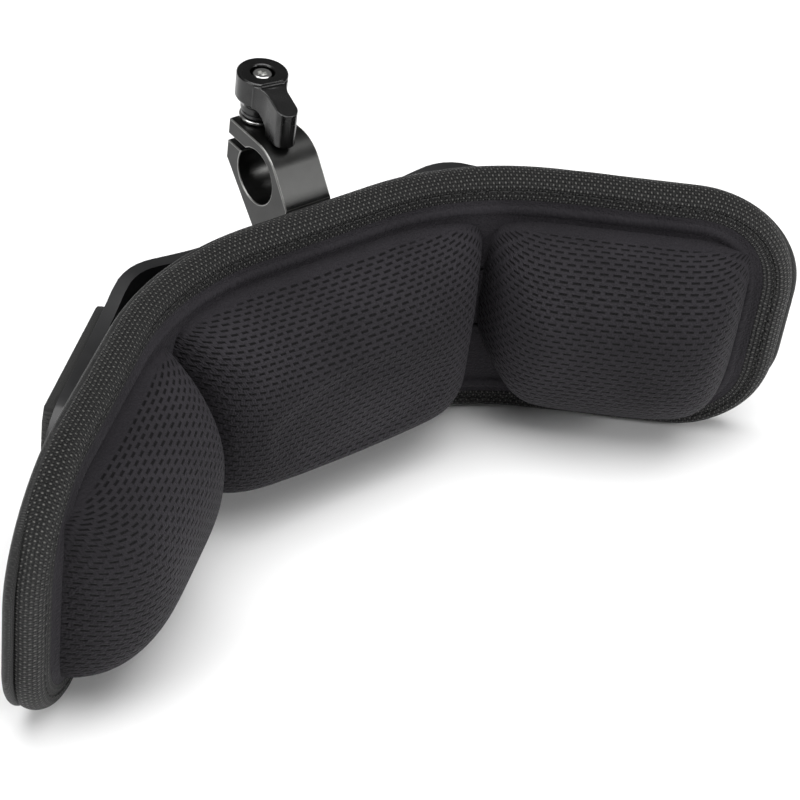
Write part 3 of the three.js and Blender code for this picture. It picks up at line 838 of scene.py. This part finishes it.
# The flange round the pillows: flat under the binding, a pressed ridge, then the sunken middle.
flange = loop_sheet("pressed_flange", [(inset * MM, d * MM) for inset, d in (
    (4, 2.6), (7, 2.9), (8.6, 3.0), (9.3, 3.2), (9.8, 3.75), (10.3, 3.8), (10.8, 3.2),
    (11.4, 2.7), (15, 2.6), (22, 2.6), (30.0, 2.6),
)])
thicken(flange, CLOTH, "cloth thickness")
subdivide(flange)
finish_piece(flange, "support", [MESH_CLOTH], ["front_flange"])

back = loop_sheet("rear_cover", [(inset * MM, -d * MM) for inset, d in (
    (3.2, 1.4), (1.9, 1.7), (1.3, 2.4), (1.3, 3.2), (1.9, 4.0), (3.2, 4.5), (5.5, 4.7),
    (9.0, 4.5), (13, 4.2), (20, 4.15), (26.0, 4.15),
)], ends=(0, -1.6 * MM))
thicken(back, CLOTH, "cloth thickness")
subdivide(back)
finish_piece(back, "support", [BACK_CLOTH], ["back_cover"])

# The binding's section: a roll over the edge, a stitched groove and a flat flange on the front.
GROOVE = (4.3 * MM, 3.75 * MM)
ROLL_GAP = 0.3 * MM                  # from the pad's outline to the roll
ROLL_DEEP = 3.9 * MM
roll_angles = [math.radians(angle) for angle in range(-36, 73, 12)]
roll_front = [(ROLL_GAP + ROLL_DEEP * (1 - math.cos(a)), ROLL * math.sin(a)) for a in roll_angles]
section = [
    (2.4 * MM, -1.6 * MM), (1.3 * MM, -2.6 * MM), *roll_front, (3.6 * MM, 4.35 * MM), GROOVE,
    (4.9 * MM, 4.1 * MM), (5.9 * MM, 4.4 * MM), (6.9 * MM, 4.2 * MM), (7.5 * MM, 3.7 * MM),
    (7.6 * MM, 3.1 * MM), (7.0 * MM, 2.8 * MM), (5.0 * MM, 2.4 * MM), (3.4 * MM, 1.0 * MM),
]
binding = swept_ring("edge_webbing", section, wobble=0.35 * MM)
tidy_mesh(binding)
subdivide(binding)
finish_piece(binding, "support", [WEBBING], ["edge_binding"])


def stitch_row(name, inset, d, pitch, length, radius):
    """Short thread stitches that lie along the binding's groove."""
    closed = STATIONS + STATIONS[:1]
    lengths = running_length(closed)

    def spot(where, out_d):
        where = where % lengths[-1]
        index = max(i for i, value in enumerate(lengths) if value <= where)
        index = min(index, len(STATIONS) - 1)
        share = (where - lengths[index]) / max(lengths[index + 1] - lengths[index], 1e-9)
        a, b = closed[index], closed[index + 1]
        s, z, out_s, out_z = (a[k] + (b[k] - a[k]) * share for k in range(4))
        here = inset_at(inset, out_s)
        return wrap(PAD_BEND, s - out_s * here, out_d, z - out_z * here)

    vertices = []
    faces = []
    sides = 6
    # A stitch as (share of its length, thickness, lift): it dips into the cloth at both ends.
    profile = (
        (0.0, 0.25, -0.35), (0.12, 0.9, 0.0), (0.5, 1.0, 0.22), (0.88, 0.9, 0.0), (1.0, 0.25, -0.35),
    )
    for number in range(int(lengths[-1] / pitch)):
        begin = number * pitch
        middle_line = [spot(begin + share * length, d + lift * radius * 2)
                       for share, _, lift in profile]
        for k, (centre, (_, size, _)) in enumerate(zip(middle_line, profile)):
            ahead = middle_line[min(k + 1, len(profile) - 1)] - middle_line[max(k - 1, 0)]
            across = ahead.cross(Vector((0, 1, 0))).normalized()
            up = across.cross(ahead).normalized()
            for side in range(sides):
                angle = 2 * math.pi * side / sides
                spoke = across * math.cos(angle) + up * math.sin(angle)
                vertices.append(centre + spoke * radius * size)
        base = len(vertices) - sides * len(profile)
        faces += ring_faces(sides, len(profile), base)
        faces.append(tuple(base + side for side in range(sides))[::-1])
        faces.append(tuple(base + (len(profile) - 1) * sides + side for side in range(sides)))
    return tidy_mesh(new_piece(name, vertices, faces))


stitches = stitch_row("binding_stitches", GROOVE[0], GROOVE[1] + 0.25 * MM,
                      pitch=3.4 * MM, length=2.7 * MM, radius=0.28 * MM)
finish_piece(stitches, "support", [THREAD])

# ---------- The plate and its elastic ----------


def plate_height(s):
    past = max(abs(s) - (PLATE["half"] - PLATE["corner"]), 0)
    drop = PLATE["corner"] - math.sqrt(max(PLATE["corner"] ** 2 - past ** 2, 0))
    taper = 1 - (1 - PLATE["tip"] / PLATE["top"]) * abs(s) / PLATE["half"]
    away = (abs(s) - PLATE_SWELL["s"]) / PLATE_SWELL["spread"]
    swell = PLATE_SWELL["rise"] * math.exp(-away ** 2)
    return (PLATE["top"] - drop) * taper + swell


def plate_piece():
    """The bent plate as a grid with upright slots for the elastic, thickened and chamfered."""
    slot_places = [STRAP["from"] + 1.1 * MM, STRAP["to"] - 1.1 * MM]
    slot_edges = sorted(p + side * STRAP_SLOT for p in slot_places for side in (-1, 1))
    half_line = {0.0, *slot_edges}
    half_line.update(0.006 * k for k in range(1, 6))
    half_line.update(0.0355 + 0.0025 * k for k in range(0, 8))
    half_line.update((0.062, 0.068, 0.074, 0.080, 0.086, 0.091))
    corner_start = PLATE["half"] - PLATE["corner"]
    half_line.update(
        corner_start + PLATE["corner"] * math.sin(math.radians(15 * k)) for k in range(1, 6))
    half_line.add(PLATE["half"] - 0.02 * MM)
    columns = sorted({round(side * s, 7) for s in half_line for side in (-1, 1)})
    slot_half = STRAP["half_height"] + 0.3 * MM
    rows = 4
    vertices = []
    for s in columns:
        top = plate_height(s)
        hold = min(slot_half, top - 0.2 * MM)
        for z in (-top, -hold, 0, hold, top):
            vertices.append(wrap(PLATE_BEND, s, 0, z))
    faces = []
    for i, (left, right) in enumerate(zip(columns, columns[1:])):
        centre = abs((left + right) / 2)
        in_slot = any(abs(centre - p) < STRAP_SLOT * 0.9 for p in slot_places)
        for j in range(rows):
            if in_slot and j in (1, 2):
                continue
            a = i * (rows + 1) + j
            faces.append((a, a + rows + 1, a + rows + 2, a + 1))
    piece = new_piece("bent_plate", vertices, faces)
    work = bmesh.new()
    work.from_mesh(piece.data)
    bmesh.ops.recalc_face_normals(work, faces=work.faces)
    front = sum(face.normal.y for face in work.faces)
    if front < 0:
        bmesh.ops.reverse_faces(work, faces=work.faces)
    work.to_mesh(piece.data)
    work.free()
    thicken(piece, PLATE["thick"], "plate thickness")
    # the chamfer takes the second material, a painted highlight
    chamfer(piece, 0.4 * MM, 40)
    return piece


plate = plate_piece()
finish_piece(plate, "support", [PLATE_PAINT, PLATE_EDGE_HIGHLIGHT], ["backing_plate"])


def strap_piece(side, name):
    """A loop of elastic round the plate between its two slots, thicker outside, as a closed band."""
    first, last = STRAP["from"], STRAP["to"]
    inner = PLATE["thick"] + 0.3 * MM
    outer = -0.3 * MM
    turn = 1.1 * MM
    ring = []
    for k in range(15):
        ring.append((first + turn * 1.2 + (last - first - turn * 2.4) * k / 14, outer - STRAP["outer"]))
    ring += [(last - 0.3 * turn, outer - STRAP["outer"] * 0.93), (last, outer - STRAP["outer"] * 0.6)]
    ring += [(last, outer), (last, inner), (last - 0.5 * turn, inner + 1.0 * MM)]
    for k in range(15):
        ring.append((last - turn * 1.2 - (last - first - turn * 2.4) * k / 14, inner + 1.1 * MM))
    ring += [(first + 0.5 * turn, inner + 1.0 * MM), (first, inner), (first, outer)]
    ring += [(first, outer - STRAP["outer"] * 0.6), (first + 0.3 * turn, outer - STRAP["outer"] * 0.93)]
    core = [(min(max(s, first + 2 * turn), last - 2 * turn), outer if d <= outer else inner)
            for s, d in ring]
    lengths = running_length(ring)
    levels = 14
    half = STRAP["half_height"]
    vertices = []
    weave = []
    for level in range(levels + 1):
        z = half * (2 * level / levels - 1)
        edge = 1 - 0.12 * (abs(z) / half) ** 12
        for (s, d), length in zip(ring, lengths):
            grown = outer + (d - outer) * edge if d < outer else d
            vertices.append(wrap(PLATE_BEND, side * s, grown, z))
            weave.append((length, z))
    count = len(ring)
    faces = ring_faces(count, levels + 1)
    base = len(vertices)
    for z in (-half, half):
        for s, d in core:
            vertices.append(wrap(PLATE_BEND, side * s, d, z))
            weave.append((s, z))
    for k in range(count):
        n = (k + 1) % count
        faces.append((k, n, base + n, base + k))
        top = levels * count
        faces.append((top + n, top + k, base + count + k, base + count + n))
        faces.append((base + k, base + n, base + count + n, base + count + k))
    piece = new_piece(name, vertices, faces)
    add_weave_map(piece, weave)
    tidy_mesh(piece)
    return piece


for side, label in ((-1, "left"), (1, "right")):
    strap = strap_piece(side, "ribbed_elastic_" + label)
    finish_piece(strap, "support", [ELASTIC], ["elastic_strap_" + label])

# ---------- The rod clamp ----------

BORE_R = 7.5 * MM
WALL_R = 10.2 * MM
BORE = Vector(((clamp_low.x + clamp_high.x) / 2, clamp_high.y - 12.8 * MM, clamp_high.z - WALL_R))
SPLIT = (3.6 * MM, 5.6 * MM)


def arc(radius, first, last, steps):
    angles = [math.radians(first + (last - first) * k / steps) for k in range(steps + 1)]
    return [(radius * math.cos(a), radius * math.sin(a)) for a in angles]


def clamp_outline():
    """Side view about the bore as (y, z): top, nose, slanted arm, foot, back, then the bore."""
    back = clamp_high.y - BORE.y
    face = clamp_low.y - BORE.y
    foot = clamp_low.z - BORE.z
    slant = WALL_R * math.sqrt(0.5)
    nose = math.radians(38)
    arm_low = (WALL_R + face * math.cos(nose)) / math.sin(nose)
    foot_back = -8 * MM
    low = math.degrees(math.asin(SPLIT[0] / BORE_R))
    high = math.degrees(math.asin(SPLIT[1] / BORE_R))
    outline = [(back, SPLIT[1]), (back, WALL_R)]
    outline += arc(WALL_R, 90, 142, 13)
    outline += [(face, arm_low), (face, foot), (foot_back, foot)]
    outline += [(foot_back, foot_back - 2 * slant), (back, back - 2 * slant), (back, SPLIT[0])]
    outline += arc(BORE_R, low, high - 360, 72)
    return outline


def clamp_piece():
    outline = clamp_outline()
    count = len(outline)
    vertices = []
    for x in (clamp_low.x, clamp_high.x):
        vertices += [Vector((x, BORE.y + y, BORE.z + z)) for y, z in outline]
    faces = [tuple(range(count)), tuple(range(2 * count - 1, count - 1, -1))]
    faces += [(k, (k + 1) % count, count + (k + 1) % count, count + k) for k in range(count)]
    piece = tidy_mesh(new_piece("split_rod_clamp", vertices, faces))
    chamfer(piece, 0.42 * MM, 28)
    return piece


clamp = clamp_piece()
finish_piece(clamp, "support", [ANODISED, CHAMFER], ["rod_clamp_body"])

# ---------- The ratchet lever ----------


def turned(name, profile, closed=False, steps=96):
    """A turned piece on the lever's axis, from (radius, height above the clamp's top) top to bottom."""
    points = [(r * MM, 0.0, z * MM) for r, z in profile]
    edges = [(k, k + 1) for k in range(len(points) - 1)]
    if closed:
        edges.append((len(points) - 1, 0))
    mesh = bpy.data.meshes.new(name)
    mesh.from_pydata(points, edges, [])
    piece = bpy.data.objects.new(name, mesh)
    scene.collection.objects.link(piece)
    turn = piece.modifiers.new("turn", "SCREW")
    turn.angle = 2 * math.pi
    turn.steps = steps
    turn.render_steps = steps
    turn.use_merge_vertices = True
    turn.merge_threshold = 0.000005
    bake_stack(piece)
    piece.data.transform(Matrix.Translation((AXIS.x, AXIS.y, CLAMP_TOP)))
    tidy_mesh(piece, 0.000002)
    piece.data.set_sharp_from_angle(angle=math.radians(25))
    return piece


washer = turned("pinch_washer_ring", (
    (2.2, 1.3), (4.7, 1.3), (4.95, 1.22), (5.1, 1.05), (5.1, 0.55), (4.95, 0.38), (4.7, 0.3), (2.2, 0.3),
), closed=True)
finish_piece(washer, "pinch_washer", [STEEL], ["pinch_washer"])

hub = turned("stud_and_hub", (
    (0, 6.3), (2.4, 6.3), (2.6, 6.1), (2.6, 5.5), (3.6, 5.5), (3.8, 5.3), (3.8, 2.7), (4.4, 2.7),
    (4.7, 2.5), (4.7, 1.8), (4.5, 1.6), (1.9, 1.6), (1.9, -13.2), (1.5, -13.6), (0, -13.6),
))
finish_piece(hub, "clamp_stud", [DARK_STEEL], ["threaded_hub"])


def cut_with(piece, tool):
    """Cuts tool's shape out of piece, keeps the result and removes the tool."""
    step = piece.modifiers.new("cut", "BOOLEAN")
    step.operation = "DIFFERENCE"
    step.solver = "EXACT"
    step.object = tool
    bake_stack(piece)
    bpy.data.objects.remove(tool)
    return piece


cap = turned("lever_screw", (
    (0, 13.2), (2.1, 13.2), (2.35, 13.08), (2.5, 12.85),
    (2.5, 11.6), (1.25, 11.6), (1.25, 3.9), (0, 3.9),
))
socket = turned("socket_tool", ((0, 14), (1.35, 14), (1.35, 12.1), (0, 11.9)), steps=6)
cut_with(cap, socket)
cap.data.shade_smooth()
cap.data.set_sharp_from_angle(angle=math.radians(25))
finish_piece(cap, "clamp_stud", [STEEL], ["lever_cap_screw"])

# The lever's arm, in millimetres from the lever's axis and above the clamp's top.
ARM_TURN = math.radians(-98)
ARM_HALF = 2.85
ARM_REACH = 16.8
ARM_ROOT = 4.7
ARM_STEPS = 32
FLARE = {"until": 9.6, "half": 2.1, "power": 2.2}     # wider where it leaves the head
ARM_TOP = {"from": 6.3, "root": 12.9, "tip": 10.6}
ARM_UNDER = {"from": 5.4, "until": 9.7, "root": 6.4, "tip": 1.0, "power": 1.5}


def arm_stations():
    """The arm from the head outwards: (reach, half width, lowest, highest), millimetres."""
    rows = []
    tip = ARM_REACH - ARM_HALF
    for k in range(ARM_STEPS + 1):
        x = ARM_ROOT + (ARM_REACH - ARM_ROOT) * k / ARM_STEPS
        flare = max(FLARE["until"] - x, 0) / (FLARE["until"] - ARM_ROOT)
        half = ARM_HALF + FLARE["half"] * flare ** FLARE["power"]
        if x > tip:
            half = math.sqrt(max(ARM_HALF ** 2 - (x - tip) ** 2, 0.01))
        fall = max(x - ARM_TOP["from"], 0) / (ARM_REACH - ARM_TOP["from"])
        high = ARM_TOP["root"] - (ARM_TOP["root"] - ARM_TOP["tip"]) * fall
        drop = (x - ARM_UNDER["from"]) / (ARM_UNDER["until"] - ARM_UNDER["from"])
        drop = min(max(drop, 0), 1) ** ARM_UNDER["power"]
        low = ARM_UNDER["root"] - (ARM_UNDER["root"] - ARM_UNDER["tip"]) * drop
        rows.append((x, half, low, high))
    return rows


def handle_piece():
    head = turned("lever_grip", (
        (3.45, 13.7), (6.2, 13.7), (6.6, 13.3), (6.6, 7.0), (6.1, 6.2), (4.95, 4.8), (4.9, 3.0),
        (4.15, 3.0), (4.15, 6.6), (1.7, 6.6), (1.7, 7.3), (3.1, 7.3), (3.1, 13.35),
    ), closed=True)
    head.data.transform(Matrix.Translation((-AXIS.x, -AXIS.y, -CLAMP_TOP)))
    notch = bpy.data.meshes.new("notch")
    notch_box = bmesh.new()
    bmesh.ops.create_cube(notch_box, size=1)
    notch_box.transform(Matrix.Translation((8 * MM, 0, 14.4 * MM)) @ Matrix.Diagonal(
        (5 * MM, 6.4 * MM, 3 * MM, 1)))
    notch_box.to_mesh(notch)
    notch_box.free()
    tool = bpy.data.objects.new("notch", notch)
    scene.collection.objects.link(tool)
    cut_with(head, tool)
    vertices = []
    for x, half, low, high in arm_stations():
        for y, z in ((-half, low), (half, low), (half, high), (-half, high)):
            vertices.append(Vector((x, y, z)) * MM)
    count = len(arm_stations())
    faces = [(0, 1, 2, 3), tuple(4 * count - 4 + k for k in (3, 2, 1, 0))]
    for k in range(count - 1):
        for c in range(4):
            n = (c + 1) % 4
            faces.append((4 * k + n, 4 * k + c, 4 * k + 4 + c, 4 * k + 4 + n))
    arm = tidy_mesh(new_piece("arm", vertices, faces))
    work = bmesh.new()
    work.from_mesh(head.data)
    work.from_mesh(arm.data)
    work.to_mesh(head.data)
    work.free()
    bpy.data.objects.remove(arm)
    knit = head.modifiers.new("one body", "REMESH")
    knit.mode = "VOXEL"
    knit.voxel_size = 0.14 * MM
    ease = head.modifiers.new("soft edges", "SMOOTH")
    ease.factor = 0.5
    ease.iterations = 4
    bake_stack(head)
    head.data.transform(
        Matrix.Translation((AXIS.x, AXIS.y, CLAMP_TOP)) @ Matrix.Rotation(ARM_TURN, 4, "Z"))
    head.data.shade_smooth()
    return head


handle = handle_piece()
finish_piece(handle, "lever", [LEVER_BLACK], ["lever_handle"])

# ---------- Inner pieces that keep their own shape ----------

INNER = (
    (FOAM, ("foam_core_left", "foam_core_middle", "foam_core_right")),
    (BOARD, ("stiffener_board",)),
    (TAPE, ("loop_tape_left", "loop_tape_right", "hook_tape_left", "hook_tape_right")),
    (DARK_STEEL, ("clamp_screw_upper", "clamp_screw_lower")),
    (STEEL, ("lever_spring",)),
)
for material, kept_nodes in INNER:
    for node in kept_nodes:
        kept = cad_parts[node]
        kept.data.materials.clear()
        kept.data.materials.append(material)

# ---------- Floor and light ----------


def add_floor():
    half = 3.0
    floor = new_piece("floor", [(-half, -half, 0), (half, -half, 0), (half, half, 0), (-half, half, 0)],
                      [(0, 1, 2, 3)])
    paper, tree, nodes, links = blank_material("pale_paper")
    surface = nodes.new("ShaderNodeBsdfPrincipled")
    surface.label = "pale paper"
    surface.inputs["Base Color"].default_value = (0.9, 0.9, 0.9, 1)
    surface.inputs["Roughness"].default_value = 0.9
    surface.inputs["Specular IOR Level"].default_value = 0.1
    output = nodes.new("ShaderNodeOutputMaterial")
    output.label = "surface"
    links.new(surface.outputs["BSDF"], output.inputs["Surface"])
    lay_out(tree, (("floor", (surface, output)),))
    floor.data.materials.append(paper)


def add_light(name, place, aim, size, power):
    lamp = bpy.data.lights.new(name, "AREA")
    lamp.shape = "RECTANGLE"
    lamp.size, lamp.size_y = size
    lamp.energy = power
    light = bpy.data.objects.new(name, lamp)
    scene.collection.objects.link(light)
    way = Vector(aim) - Vector(place)
    light.matrix_world = Matrix.Translation(place) @ way.to_track_quat("-Z", "Y").to_matrix().to_4x4()


add_floor()
middle = (0, 0, 0.04)
add_light("overhead", (-0.1, -0.1, 1.5), middle, (1.6, 1.6), 34)
add_light("front_right", (0.76, -1.18, 0.70), middle, (0.36, 0.36), 8)
add_light("left", (-1.3, 0.1, 0.8), middle, (0.8, 0.9), 8)
world = bpy.data.worlds.new("studio")
world.use_nodes = True
world.node_tree.nodes["Background"].inputs["Color"].default_value = (1, 1, 1, 1)
world.node_tree.nodes["Background"].inputs["Strength"].default_value = 0.16
scene.world = world
scene.view_settings.view_transform = "Standard"
